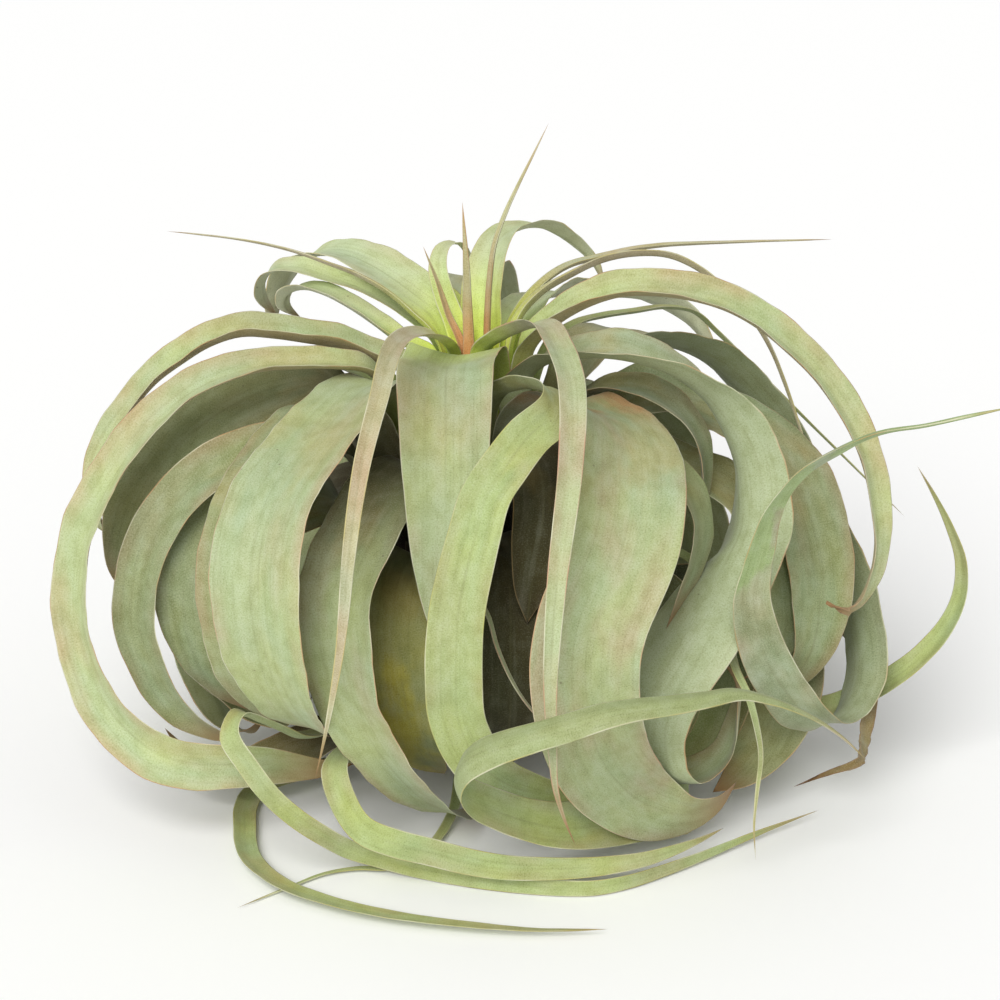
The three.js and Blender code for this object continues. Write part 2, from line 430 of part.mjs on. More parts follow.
// Each group of contacts is pressed to the side of the wide blade that most of it is on already.
function pressPair(a, b) {
  const [narrow, wide] = a.width < b.width ? [a, b] : [b, a];
  for (const group of contactGroups(narrow, wide)) {
    const way = Math.sign(group.reduce((sum, hit) => sum + hit.above, 0)) || 1;
    for (const hit of group) {
      const flesh = hit.thick * (1 - Math.abs(hit.u))
        + wide.stations[hit.j].thick * (1 - Math.min(1, Math.abs(hit.across)));
      const short = LEAF_GAP + flesh / 2 - way * hit.above;
      const ease = [narrow.ease(hit.i), wide.ease(hit.j)];
      const both = ease[0] + ease[1];
      if (short <= 0 || both === 0) continue;
      const push = hit.up.multiplyScalar(way * Math.min(short, 2 * PRESS_STEP) / both);
      narrow.pushAt(hit.i, push.clone().multiplyScalar(ease[0]));
      wide.pushAt(hit.j + hit.along, push.multiplyScalar(-ease[1]));
    }
  }
}

class Leaf {
  constructor([name, heading, seat, width, thick, fold, taper, route, neck = SEAT_RUN]) {
    Object.assign(this, { name, seat, width, thick, taper, route, neck });
    this.heading = rad(heading);
    this.fold = rad(fold);
    seatOnStem(this);
    this.stations = makeStations(this);
    this.home = this.stations.map((s) => s.centre.clone());
  }

  // How freely a section gives way: not at all on the stem, fully some way out.
  ease(i) {
    return smoothstep(i, SEATED_SECTIONS, FREE_SECTIONS);
  }

  pushAt(i, push) {
    for (const k of [Math.floor(i), Math.ceil(i)]) {
      const p = this.pushes[k];
      if (push.length() > p.length()) p.copy(push);
    }
  }

  // Moves each section by its own and its neighbours' pushes, then evens out how far neighbours have
  // moved, so that the blade stays smooth.
  giveWay() {
    const last = this.stations.length - 1;
    const share = (1 - PRESS_KEEP) / 2;
    for (let pass = 0; pass < PRESS_SPREADS; pass++) {
      this.pushes = this.pushes.map((p, i) => p.clone().multiplyScalar(PRESS_KEEP)
        .addScaledVector(this.pushes[Math.max(0, i - 1)], share)
        .addScaledVector(this.pushes[Math.min(last, i + 1)], share));
    }
    this.stations.forEach((s, i) => {
      s.centre.addScaledVector(this.pushes[i].clampLength(0, PRESS_STEP), this.ease(i));
    });
    const moved = this.stations.map((s, i) => s.centre.clone().sub(this.home[i]));
    this.stations.forEach((s, i) => {
      const even = moved[Math.max(0, i - 1)].clone().add(moved[Math.min(last, i + 1)]).divideScalar(2);
      s.centre.addScaledVector(even.sub(moved[i]), PRESS_EVEN * this.ease(i));
      this.keepOut(s, i);
    });
  }

  // Off the floor and off the stem.
  keepOut(s, i) {
    let low = Infinity;
    let inside = 0;
    for (const u of ACROSS) {
      const p = bladePoint(s, u);
      const flesh = s.thick / 2 * (1 - Math.abs(u));
      low = Math.min(low, p.z - flesh);
      inside = Math.max(inside, stemRadius(p.z) + flesh + STEM_CLEAR - Math.hypot(p.x, p.y));
    }
    if (low < FLOOR_GAP) s.centre.z += FLOOR_GAP - low;
    if (inside > 0 && i > 0) s.centre.addScaledVector(radial(Math.atan2(s.centre.y, s.centre.x)), inside);
  }
}

function pressApart(leaves) {
  for (let round = 0; round < PRESS_ROUNDS; round++) {
    for (const leaf of leaves) {
      leaf.box = boxOf(leaf);
      leaf.pushes = leaf.stations.map(() => new THREE.Vector3());
    }
    for (let a = 0; a < leaves.length; a++) {
      for (let b = a + 1; b < leaves.length; b++) {
        if (leaves[a].box.intersectsBox(leaves[b].box)) pressPair(leaves[a], leaves[b]);
      }
    }
    for (const leaf of leaves) leaf.giveWay();
  }
}

// A section's corners are a margin, the upper middle, the other margin and the lower middle.
// Upper and lower face split along the same diagonals, and the blade ends in a point.
function bladeGeometry(stations) {
  const corners = [];
  const faces = [];
  const last = stations.length - 1;
  for (const s of stations.slice(0, last)) {
    const flesh = s.thick / 2;
    corners.push(bladePoint(s, 1), bladePoint(s, 0).addScaledVector(s.up, flesh),
      bladePoint(s, -1), bladePoint(s, 0).addScaledVector(s.up, -flesh));
  }
  corners.push(stations[last].centre);
  faces.push([0, 2, 1], [0, 3, 2]);
  for (let i = 0; i < last; i++) {
    for (let k = 0; k < 4; k++) {
      const here = 4 * i + k;
      const beside = 4 * i + (k + 1) % 4;
      if (i === last - 1) faces.push([here, beside, 4 * last]);
      else if (k % 2 === 0) faces.push([here, beside, beside + 4], [here, beside + 4, here + 4]);
      else faces.push([here, beside, here + 4], [beside, beside + 4, here + 4]);
    }
  }
  const geometry = new THREE.BufferGeometry();
  const places = corners.flatMap((p) => p.toArray());
  geometry.setAttribute("position", new THREE.Float32BufferAttribute(places, 3));
  geometry.setIndex(faces.flat());
  geometry.computeVertexNormals();
  return geometry;
}

function stemMesh() {
  const outline = STEM_PROFILE.map(([r, z]) => new THREE.Vector2(r, z));
  const geometry = new THREE.LatheGeometry(outline, STEM_SIDES);
  geometry.rotateX(Math.PI / 2);
  const bark = new THREE.MeshStandardMaterial({ color: 0x6b5a42, roughness: 0.9, metalness: 0 });
  const mesh = new THREE.Mesh(geometry, bark);
  mesh.name = "stem";
  return mesh;
}

// Young leaves stand high on the stem and are yellow-green, old ones sit low and are grey.
function leafMesh(leaf) {
  const youth = smoothstep(leaf.seat, 20, 160);
  const color = new THREE.Color(0x8f9a80).lerp(new THREE.Color(0xb3bf83), youth);
  const mesh = new THREE.Mesh(bladeGeometry(leaf.stations),
    new THREE.MeshStandardMaterial({ color, roughness: 0.8, metalness: 0 }));
  mesh.name = leaf.name;
  return mesh;
}

const leaves = [...FRONT_LEAVES, ...rearLeaves()].map((entry) => new Leaf(entry));
pressApart(leaves);

const plant = new THREE.Group();
plant.name = "air_plant";
plant.add(stemMesh(), ...leaves.map(leafMesh));

export default plant;
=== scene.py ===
# A large silvery air plant at rest on a pale studio floor, dressed leaf by leaf over its solids.
# Metres, +Z up. The photographed side faces -Y.
import math

import bpy
import numpy as np
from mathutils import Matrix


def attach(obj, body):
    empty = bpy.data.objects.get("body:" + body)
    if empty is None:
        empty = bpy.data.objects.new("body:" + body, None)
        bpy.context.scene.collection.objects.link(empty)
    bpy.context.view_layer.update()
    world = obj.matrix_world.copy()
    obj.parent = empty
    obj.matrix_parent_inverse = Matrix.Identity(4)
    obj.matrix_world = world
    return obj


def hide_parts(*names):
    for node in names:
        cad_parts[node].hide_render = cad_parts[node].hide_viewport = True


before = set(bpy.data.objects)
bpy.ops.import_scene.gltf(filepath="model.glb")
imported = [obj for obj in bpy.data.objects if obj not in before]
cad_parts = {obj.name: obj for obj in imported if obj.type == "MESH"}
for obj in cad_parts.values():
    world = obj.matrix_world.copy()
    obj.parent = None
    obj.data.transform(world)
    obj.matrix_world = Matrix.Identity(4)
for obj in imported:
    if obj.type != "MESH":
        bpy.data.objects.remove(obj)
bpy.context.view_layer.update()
MM = 0.001

# ---- Stem
# The short woody core that every leaf grows from, almost wholly hidden. It is fibrous and brown,
# ringed by the ragged scars of leaves that have dropped, and ends in a flat foot.
STEM_RINGS_MM = 2.2        # height of one scar ring
STEM_ROUGH_MM = 0.5        # how deep the scars go, all of it inwards
STEM_TURNS = 96            # points round the stem
BETWEEN_SCARS = 0.2        # how deep the rings between the scars are, as a share
# Rags of a scar: share of its depth, how many go round the stem, and their turn from ring to ring.
STEM_RAGS = [(0.3, 7, 1.0), (0.2, 19, -2.3)]
BARK_DARK = 0x2b2217
BARK_PALE = 0x6a5a41
HEART = 0xa9c050           # the living tissue at the top, between the youngest leaves
HEART_MM = (128, 150)      # heights over which the bark gives way to it
FIBRE = (900, 900, 120)    # how often the fibre's streaks repeat in a metre: round it and up it
FIBRE_RELIEF_MM = 0.6


def linear(hex_colour):
    """An sRGB hex value as a linear colour."""
    parts = [(hex_colour >> shift & 255) / 255 for shift in (16, 8, 0)]
    return tuple(c / 12.92 if c <= 0.04045 else ((c + 0.055) / 1.055) ** 2.4 for c in parts) + (1,)


def add(tree, kind, links=(), **settings):
    """A node with its settings. links pairs each input with a value or another node's output."""
    node = tree.nodes.new(kind)
    for name, value in settings.items():
        setattr(node, name, value)
    for name, value in links:
        if isinstance(value, bpy.types.NodeSocket):
            tree.links.new(value, node.inputs[name])
        else:
            node.inputs[name].default_value = value
    return node


def new_material(name):
    """A node material that holds only its output, and that output."""
    material = bpy.data.materials.new(name)
    material.use_nodes = True
    material.node_tree.nodes.clear()
    return material, material.node_tree, add(material.node_tree, "ShaderNodeOutputMaterial")


def fibrous_bark():
    """Dry stem fibre: matt, brown, streaked up and down, with a living green top."""
    material, tree, output = new_material("fibrous bark")
    place = add(tree, "ShaderNodeTexCoord").outputs["Object"]
    streaks = add(tree, "ShaderNodeMapping", [("Vector", place), ("Scale", FIBRE)])
    grain = add(tree, "ShaderNodeTexNoise", [("Vector", streaks.outputs[0]), ("Scale", 1.0),
                                             ("Detail", 4)])
    colour = add(tree, "ShaderNodeMix", [("Factor", grain.outputs["Fac"]), ("A", linear(BARK_DARK)),
                                         ("B", linear(BARK_PALE))], data_type="RGBA")
    height = add(tree, "ShaderNodeSeparateXYZ", [("Vector", place)]).outputs["Z"]
    living = add(tree, "ShaderNodeMapRange", [("Value", height), ("From Min", HEART_MM[0] * MM),
                                              ("From Max", HEART_MM[1] * MM)])
    colour = add(tree, "ShaderNodeMix", [("Factor", living.outputs[0]), ("B", linear(HEART)),
                                         ("A", colour.outputs["Result"])], data_type="RGBA")
    bump = add(tree, "ShaderNodeBump", [("Height", grain.outputs["Fac"]), ("Strength", 0.6),
                                        ("Distance", FIBRE_RELIEF_MM * MM)])
    shader = add(tree, "ShaderNodeBsdfPrincipled", [("Base Color", colour.outputs["Result"]),
                                                    ("Roughness", 0.9), ("IOR", 1.45),
                                                    ("Normal", bump.outputs[0])])
    tree.links.new(shader.outputs[0], output.inputs["Surface"])
    return material


def make_piece(name, points, faces, material, node):
    """A mesh object that stands for one solid of the frame."""
    mesh = bpy.data.meshes.new(name)
    mesh.from_pydata([tuple(p) for p in points], [], faces)
    mesh.materials.append(material)
    mesh.polygons.foreach_set("use_smooth", [True] * len(mesh.polygons))
    piece = bpy.data.objects.new(name, mesh)
    bpy.context.collection.objects.link(piece)
    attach(piece, "root")
    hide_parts(node)
    return piece


def stem_outline():
    """Radius and height of the stem's solid, from the foot to the top."""
    corners = {}
    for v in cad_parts["stem"].data.vertices:
        radius, height = math.hypot(v.co.x, v.co.y), round(v.co.z, 6)
        corners[height] = max(radius, corners.get(height, 0))
    return sorted((height, radius) for height, radius in corners.items())


def make_stem():
    """The stem inside the outline of its solid, with scars only ever cut inwards."""
    heights, radii = zip(*stem_outline())
    count = int((heights[-1] - heights[0]) / (STEM_RINGS_MM * MM) * 2)
    points, faces = [(0, 0, heights[0])], []
    for k, z in enumerate(np.linspace(heights[0], heights[-1], count)[:-1]):
        radius = np.interp(z, heights, radii)
        for turn in np.linspace(0, 2 * math.pi, STEM_TURNS, endpoint=False):
            ragged = 0.5 + sum(share * math.sin(number * turn + shift * k)
                               for share, number, shift in STEM_RAGS)
            depth = STEM_ROUGH_MM * MM * ragged * (1 if k % 2 else BETWEEN_SCARS) * min(1, k)
            points.append(((radius - depth) * math.cos(turn), (radius - depth) * math.sin(turn), z))
    points.append((0, 0, heights[-1]))
    top = len(points) - 1
    for k in range(STEM_TURNS):
        after = (k + 1) % STEM_TURNS
        faces.append((0, 1 + after, 1 + k))
        for ring in range(count - 2):
            low, high = 1 + ring * STEM_TURNS, 1 + (ring + 1) * STEM_TURNS
            faces.append((low + k, low + after, high + after, high + k))
        last = 1 + (count - 2) * STEM_TURNS
        faces.append((last + k, last + after, top))
    make_piece("stem_bark", points, faces, fibrous_bark(), "stem")


make_stem()

# ---- Leaf form
# Each leaf is a thick, dry strap: a shallow channel with a rounded fold, thickest along the middle,
# with a thin margin that waves a little. It keeps the course, width and channel of its solid.
RING_MM = 2.6              # length of blade between two cross-sections
RIM_MM = 0.36              # width of the margin's rounding, and half of it each face's height
RIM_SHARE = (0.8, 0.985)   # where the margin's rounding starts, as a share of the half width
RIM_GAP = 0.02             # how far within that the other points are kept
RIM_THICK = 0.3            # most that each face has at the margin, as a share of the solid's
COLUMNS = (4, 7)           # points from the middle to the margin of a narrow and of a broad leaf
BROAD_MM = 9               # half width from which a leaf is broad
FLESH = 0.46               # thickness of each face at the middle, as a share of the solid's
FLESH_FALL = 1.7           # how steeply the flesh thins to the margin
CHANNEL_ROUND = 0.28       # how round the fold is, as a share of the half width
MARGIN_WAVES_MM = [(37, 0.34), (17, 0.2), (8.3, 0.08)]   # length and height of each wave
WAVE_PHASES = (2.4, 1.9, 1.3)   # turn of the waves by leaf, by wave and by side
WAVES_FALL = 3             # how steeply the waves fade towards the middle
WAVES_FULL_MM = (12, 30)   # half width, and distance from the stem, from which the waves are full
WAVES_SHARE = (0.25, 1.2)  # least and most of the waves that a leaf's width leaves or gives
LIFT_LEAST_MM = 0.25       # the blade's lowest point over the floor
APART_MM = 37.0            # how far apart in the skin's patterns two leaves lie
BUCKLES = [(1.0, 0.55, 3, 1), (0.6, 1.3, -5, 0)]   # share, radians a mm, across, and by leaf


def first_margins(near):
    """The two margin corners at a leaf's base. Its end is two triangles: either they join the
    margins, and only the middles have three neighbours, or only the margins have five."""
    middles = [k for k, others in enumerate(near) if len(others) == 3]
    if middles:
        return near[middles[0]] & near[middles[1]]
    return [k for k, others in enumerate(near) if len(others) == 5]


def blade_sections(node):
    """The corners of a leaf's solid, section by section: left margin, upper middle, right margin
    and lower middle, then the tip."""
    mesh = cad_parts[node].data
    spots, places, spot_of = {}, [], []
    for v in mesh.vertices:
        key = tuple(round(c, 7) for c in v.co)
        if key not in spots:
            spots[key] = len(places)
            places.append(np.array(v.co))
        spot_of.append(spots[key])
    near = [set() for _ in places]
    for edge in mesh.edges:
        a, b = (spot_of[v] for v in edge.vertices)
        near[a].add(b)
        near[b].add(a)
    left, right = first_margins(near)
    upper, lower = (k for k in near[left] & near[right] if len(near[k]) < 5)
    used, sections = set(), []
    while upper != lower:
        sections.append([places[k] for k in (left, upper, right, lower)])
        used |= {left, upper, right, lower}
        (upper,), (lower,) = near[upper] - used, near[lower] - used
        if upper != lower:
            (left,), (right,) = ((near[k] - used) - {upper, lower} for k in (left, right))
    sections = np.array(sections)
    rise = sections[:, [0, 2]].mean(1) - sections[:, [1, 3]].mean(1)
    if (rise * (sections[:, 1] - sections[:, 3])).sum() < 0:
        sections = sections[:, [0, 3, 2, 1]]
    run = np.gradient(sections.mean(1), axis=0)
    turn = np.cross(sections[:, 2] - sections[:, 0], sections[:, 1] - sections[:, 3])
    if (turn * run).sum() > 0:
        sections = sections[:, [2, 1, 0, 3]]
    return sections, places[upper]


def smooth_through(knots, per_knot):
    """A smooth course through the knots, with per_knot steps between two of them."""
    ends = np.concatenate([[2 * knots[0] - knots[1]], knots, [2 * knots[-1] - knots[-2]]])
    share = np.linspace(0, 1, per_knot, endpoint=False).reshape((-1,) + (1,) * (knots.ndim - 1))
    stretches = []
    for k in range(len(knots) - 1):
        p0, p1, p2, p3 = ends[k:k + 4]
        stretches.append(p1 + 0.5 * share * (p2 - p0 + share * (
            2 * p0 - 5 * p1 + 4 * p2 - p3 + share * (3 * (p1 - p2) + p3 - p0))))
    return np.concatenate(stretches)


def store(mesh, name, kind, values):
    """A value for each vertex, which the leaf's skin reads."""
    layer = mesh.attributes.new(name, kind, "POINT")
    layer.data.foreach_set("vector" if kind == "FLOAT_VECTOR" else "value", np.ravel(values))


def make_leaf(node, material, slot, seed, crinkle=0.0, waves=1.0, dried_from=0.72):
    """The fine blade of one leaf. crinkle is how far, in mm, its tip buckles from dried_from on."""
    sections, tip = blade_sections(node)
    knots = np.concatenate([sections, [[tip] * 4]])
    step = np.linalg.norm(np.diff(knots.mean(1), axis=0), axis=1).mean()
    course = smooth_through(knots, max(2, round(step / (RING_MM * MM))))
    left, upper, right, lower = course.transpose(1, 0, 2)
    middle = (upper + lower) / 2
    side = (right - left) / 2
    half = np.linalg.norm(side, axis=1)
    rise = (left + right) / 2 - middle
    thick = np.linalg.norm(upper - lower, axis=1)
    up = (upper - lower) / thick[:, None]
    run = np.concatenate([[0], np.cumsum(np.linalg.norm(np.diff(middle, axis=0), axis=1))])
    along = run / (run[-1] + np.linalg.norm(tip - middle[-1]))

    columns = COLUMNS[int(half.max() > BROAD_MM * MM)]
    inner = np.sin(np.linspace(0, math.pi / 2, columns + 1)[:-1])
    inner = np.concatenate([-inner[:0:-1], inner])
    rim = np.clip(1 - RIM_MM * MM / half, *RIM_SHARE)[:, None]
    rows = np.concatenate([-rim, inner[None] * (rim - RIM_GAP), rim], axis=1)
    across = np.concatenate([np.full((len(run), 1), -1.0), rows, np.full((len(run), 1), 1.0),
                             rows[:, ::-1]], axis=1)
    face = np.array([0] + [1] * rows.shape[1] + [0] + [-1] * rows.shape[1])

    fold = (np.sqrt(across ** 2 + CHANNEL_ROUND ** 2) - CHANNEL_ROUND) \
        / (math.sqrt(1 + CHANNEL_ROUND ** 2) - CHANNEL_ROUND)
    flesh = np.maximum(thick[:, None] * FLESH * (1 - np.abs(across) ** FLESH_FALL),
                       np.minimum(RIM_MM * MM / 2, thick[:, None] * RIM_THICK))
    wave = np.zeros_like(across)
    by_leaf, by_wave, by_side = WAVE_PHASES
    for order, (length, height) in enumerate(MARGIN_WAVES_MM):
        phase = by_leaf * seed + by_wave * order + by_side * np.sign(across)
        wave += height * MM * np.sin(2 * math.pi * run[:, None] / (length * MM) + phase)
    wide = np.clip(half / (WAVES_FULL_MM[0] * MM), *WAVES_SHARE)[:, None]
    free = np.clip(run / (WAVES_FULL_MM[1] * MM), 0, 1)[:, None]
    wave *= waves * wide * free * np.abs(across) ** WAVES_FALL
    dried = np.clip((along[:, None] - dried_from) / (1 - dried_from), 0, 1)
    buckle = sum(share * np.sin(run[:, None] / MM * turns + tilt * across + seeded * seed)
                 for share, turns, tilt, seeded in BUCKLES)
    wave += crinkle * MM * dried * buckle * np.abs(across)
    points = middle[:, None] + side[:, None] * across[..., None] + rise[:, None] * fold[..., None] \
        + up[:, None] * (flesh * face + wave)[..., None]
    points[..., 2] = np.maximum(points[..., 2], LIFT_LEAST_MM * MM)

    rings, loop = across.shape
    faces = []
    for k in range(loop):
        after = (k + 1) % loop
        for ring in range(rings - 1):
            here = ring * loop
            faces.append((here + k, here + after, here + loop + after, here + loop + k))
        faces.append(((rings - 1) * loop + k, (rings - 1) * loop + after, rings * loop))
    n = rows.shape[1]
    faces += [(0, loop - 1, 1), *((k, loop - k, loop - k - 1, k + 1) for k in range(1, n)),
              (n, n + 2, n + 1)]
    piece = make_piece(node + "_blade", np.concatenate([points.reshape(-1, 3), [tip]]), faces,
                       material, node)
    edge = (1 - np.abs(across)) * half[:, None] / MM
    layer = APART_MM * seed
    blade = np.stack([across * half[:, None] / MM, np.broadcast_to(run[:, None] / MM, across.shape),
                      np.full_like(across, layer)], axis=-1)
    last = np.array([[0, run[-1] / MM, layer]])
    store(piece.data, "blade", "FLOAT_VECTOR", np.concatenate([blade.reshape(-1, 3), last]))
    store(piece.data, "edge", "FLOAT", np.append(edge, 0))
    store(piece.data, "along", "FLOAT", np.append(np.broadcast_to(along[:, None], across.shape), 1))
    store(piece.data, "under", "FLOAT", np.append(np.broadcast_to(face < 0, across.shape), 0.5))


# ---- Leaf skin
# A leaf is coated with grey-white scales that drink dew, so it is matt and powdery over sage green,
# mottled by age and light, tanned where it bends to the sky, with faint lengthwise grain and a thin
# margin that is tan here and bleached there.
# Distances between which each of these fades in, from the margin twice and then from the middle.
MARGIN_MM = (0.6, 0.1)     # the coloured margin
ROSE_MM = (7, 0.5)         # the rosy tint beside it
RIB_MM = (0.7, 0.1)        # the darker line along the middle
BASE_FULL = 0.25           # share of base_mm within which a base has its full colour
PATCH_ENDS_MM = (14, 18)   # how long a patch takes to fade in and out
SPECK_MM = 8               # spacing of the small brown specks
SPECK_SIZE = (0.075, 0.03)  # where a speck starts and is full, as a share of their spacing
RELIEF_MM = 0.3            # height of the grain and the scurf
RELIEF_SHARES = (0.8, 0.3)  # part of the grain and part of the scurf in it
TIP_SHARE = 0.88           # where a tip starts to dry
BEND_UP = (0.45, 0.9)      # how squarely a bend has to face the sky to be tanned by it
TAN = 0xb39a58
COOL = 0x96b294            # where the scurf lies thick over deeper green
PALE_MARGIN = 0xd6d4b6     # where the margin has bleached
RIB = 0x77764f
SPECK = 0x5d4a33
COOL_STRENGTH = 0.26
FLUSH_STRENGTH = 0.55      # rosy tint along the margins
UNDER_STRENGTH = 0.8
RIB_STRENGTH = 0.22
SPECK_STRENGTH = 0.5
MARGIN_STRENGTH = 0.85
# Soft patches: size across and along the blade in mm, detail and shift of their noise, then the
# values between which they fade in.
WARM_PATCHES = (30, 60, 2.0, 0.0, 0.38, 0.66)
COOL_PATCHES = (18, 60, 3.0, 120.0, 0.48, 0.66)
ROSY_PATCHES = (21, 60, 3.0, 40.0, 0.45, 0.7)
FLUSHED_PATCHES = (60, 34, 2.0, 61.0, 0.4, 0.65)
TANNED_PATCHES = (24, 44, 3.0, 77.0, 0.47, 0.62)
BLOTCHES = (14, 20, 3.0, 11.0, 0.35, 0.6)
RIB_PATCHES = (40, 50, 1.0, 23.0, 0.4, 0.6)
SPECK_PATCHES = (40, 60, 1.0, 90.0, 0.48, 0.6)
MARGIN_PATCHES = (60, 18, 2.0, 7.0, 0.25, 0.55)
BLEACHED_PATCHES = (60, 30, 2.0, 51.0, 0.42, 0.58)
# Fine noises: size across and along the blade in mm, detail and shift. Real scales are 0.3 mm wide,
# too fine to show, so the scurf is drawn larger.
GRAIN = (1.3, 70, 2.0, 3.0)
STREAKS = (5, 90, 3.0, 17.0)
WORN = (5, 7.5, 4.0, 29.0)
SCURF = (0.55, 0.55, 3.0, 5.0)
# What each lays on: the noise values between which it fades in, its strength, colour and blend.
GRAIN_DARK = (0.48, 0.7, 0.24, 0xccc6b0, "MULTIPLY")
STREAK_DARK = (0.45, 0.7, 0.13, 0xc6c8a4, "MULTIPLY")
STREAK_PALE = (0.5, 0.3, 0.06, 0xdde0c8, "MIX")
WORN_DARK = (0.46, 0.66, 0.26, 0xc8c8a0, "MULTIPLY")
WORN_PALE = (0.52, 0.32, 0.4, 0xd2dcc8, "MIX")
SCURF_PALE = (0.5, 0.72, 1.0, 0xd4d8c0, "MIX")
SCURF_DARK = (0.5, 0.3, 0.55, 0xc4c6b4, "MULTIPLY")


def scurfed_leaf(name, base, body, warm, blush, under, margin=0xc49f72, base_mm=60.0, warmth=0.5,
                 blushing=0.35, dry=0x93724c, dryness=1.0, bloom=0.2, tan=0.36, fresh=1.0,
                 patches=()):
    """Trichome-scurfed leaf: base, body, warm and blush are the colours by the stem, of the blade,
    of its sunlit patches and of its rosy patches. bloom is how strongly the scurf shows, tan how
    strongly its bends are tanned, fresh how strongly its cool patches and bleached margins show,
    and patches are (start mm, end mm, colour, strength)."""
    material, tree, output = new_material(name)

    def ramp(value, low, high):
        node = add(tree, "ShaderNodeMapRange", [("Value", value), ("From Min", low),
                                                ("From Max", high)],
                   interpolation_type="SMOOTHSTEP")
        return node.outputs[0]

    def times(a, b):
        return add(tree, "ShaderNodeMath", [(0, a), (1, b)], operation="MULTIPLY").outputs[0]

    def blend(factor, a, b, mode="MIX"):
        a, b = (linear(value) if isinstance(value, int) else value for value in (a, b))
        node = add(tree, "ShaderNodeMix", [("Factor", factor), ("A", a), ("B", b)],
                   data_type="RGBA", blend_type=mode)
        return node.outputs["Result"]

    def cloud(across, along, detail, shift):
        at = add(tree, "ShaderNodeMapping", [("Vector", blade), ("Location", (shift, shift, 0)),
                                             ("Scale", (1 / across, 1 / along, 1))])
        node = add(tree, "ShaderNodeTexNoise", [("Vector", at.outputs[0]), ("Scale", 1.0),
                                                ("Detail", detail)])
        return node.outputs["Fac"]

    def patchy(pattern):
        return ramp(cloud(*pattern[:4]), *pattern[4:])

    def overlay(below_it, noise, layer, share=1.0):
        low, high, strength, tint, mode = layer
        return blend(times(ramp(noise, low, high), strength * share), below_it, tint, mode)

    blade = add(tree, "ShaderNodeAttribute", attribute_name="blade").outputs["Vector"]
    edge = add(tree, "ShaderNodeAttribute", attribute_name="edge").outputs["Fac"]
    along = add(tree, "ShaderNodeAttribute", attribute_name="along").outputs["Fac"]
    below = add(tree, "ShaderNodeAttribute", attribute_name="under").outputs["Fac"]
    parts = add(tree, "ShaderNodeSeparateXYZ", [("Vector", blade)])
    run = parts.outputs["Y"]
    normal = add(tree, "ShaderNodeNewGeometry").outputs["Normal"]
    facing = add(tree, "ShaderNodeSeparateXYZ", [("Vector", normal)]).outputs["Z"]

    colour = blend(times(patchy(WARM_PATCHES), warmth), body, warm)
    colour = blend(times(patchy(COOL_PATCHES), COOL_STRENGTH * fresh), colour, COOL)
    colour = blend(times(patchy(ROSY_PATCHES), blushing), colour, blush)
    flushed = times(ramp(edge, *ROSE_MM), patchy(FLUSHED_PATCHES))
    colour = blend(times(flushed, FLUSH_STRENGTH), colour, blush)
    tanned = times(ramp(facing, *BEND_UP), patchy(TANNED_PATCHES))
    colour = blend(times(tanned, tan), colour, TAN)
    colour = blend(times(below, UNDER_STRENGTH), colour, under)
    for start, end, tint, strength in patches:
        spread = times(ramp(run, start, start + PATCH_ENDS_MM[0]),
                       ramp(run, end, end - PATCH_ENDS_MM[1]))
        colour = blend(times(times(spread, patchy(BLOTCHES)), strength), colour, tint)
    colour = blend(ramp(run, base_mm, BASE_FULL * base_mm), colour, base)
    grain, streaks, worn, scurf = (cloud(*noise) for noise in (GRAIN, STREAKS, WORN, SCURF))
    colour = overlay(colour, grain, GRAIN_DARK)
    colour = overlay(colour, streaks, STREAK_DARK)
    colour = overlay(colour, streaks, STREAK_PALE)
    colour = overlay(colour, worn, WORN_DARK)
    colour = overlay(colour, worn, WORN_PALE, bloom)
    colour = overlay(colour, scurf, SCURF_PALE, bloom)
    colour = overlay(colour, scurf, SCURF_DARK)
    rib = add(tree, "ShaderNodeMath", [(0, parts.outputs["X"])], operation="ABSOLUTE").outputs[0]
    ribbed = times(ramp(rib, *RIB_MM), times(patchy(RIB_PATCHES), RIB_STRENGTH))
    colour = blend(ribbed, colour, RIB)
    specks = add(tree, "ShaderNodeTexVoronoi", [("Vector", blade), ("Scale", 1 / SPECK_MM)])
    speck = times(ramp(specks.outputs["Distance"], *SPECK_SIZE), patchy(SPECK_PATCHES))
    colour = blend(times(speck, SPECK_STRENGTH), colour, SPECK)
    rim = times(ramp(edge, *MARGIN_MM), patchy(MARGIN_PATCHES))
    edging = blend(times(patchy(BLEACHED_PATCHES), fresh), margin, PALE_MARGIN)
    colour = blend(times(rim, MARGIN_STRENGTH), colour, edging)
    colour = blend(times(ramp(along, TIP_SHARE, 1.0), dryness), colour, dry)

    shares = [(k, times(noise, share))
              for k, (noise, share) in enumerate(zip((grain, scurf), RELIEF_SHARES))]
    relief = add(tree, "ShaderNodeMath", shares, operation="ADD")
    bump = add(tree, "ShaderNodeBump", [("Height", relief.outputs[0]), ("Strength", 0.25),
                                        ("Distance", RELIEF_MM * MM)])
    shader = add(tree, "ShaderNodeBsdfPrincipled", [
        ("Base Color", colour), ("Roughness", 0.72), ("IOR", 1.4), ("Specular IOR Level", 0.35),
        ("Sheen Weight", 0.12), ("Sheen Roughness", 0.5), ("Normal", bump.outputs[0])])
    tree.links.new(shader.outputs[0], output.inputs["Surface"])
    return material


def make_leaves(names, skin, slot, seed, **form):
    """Leaves of one skin, each with the next seed; slot is not used."""
    for k, name in enumerate(names):
        make_leaf(name, skin, slot, seed + k, **form)
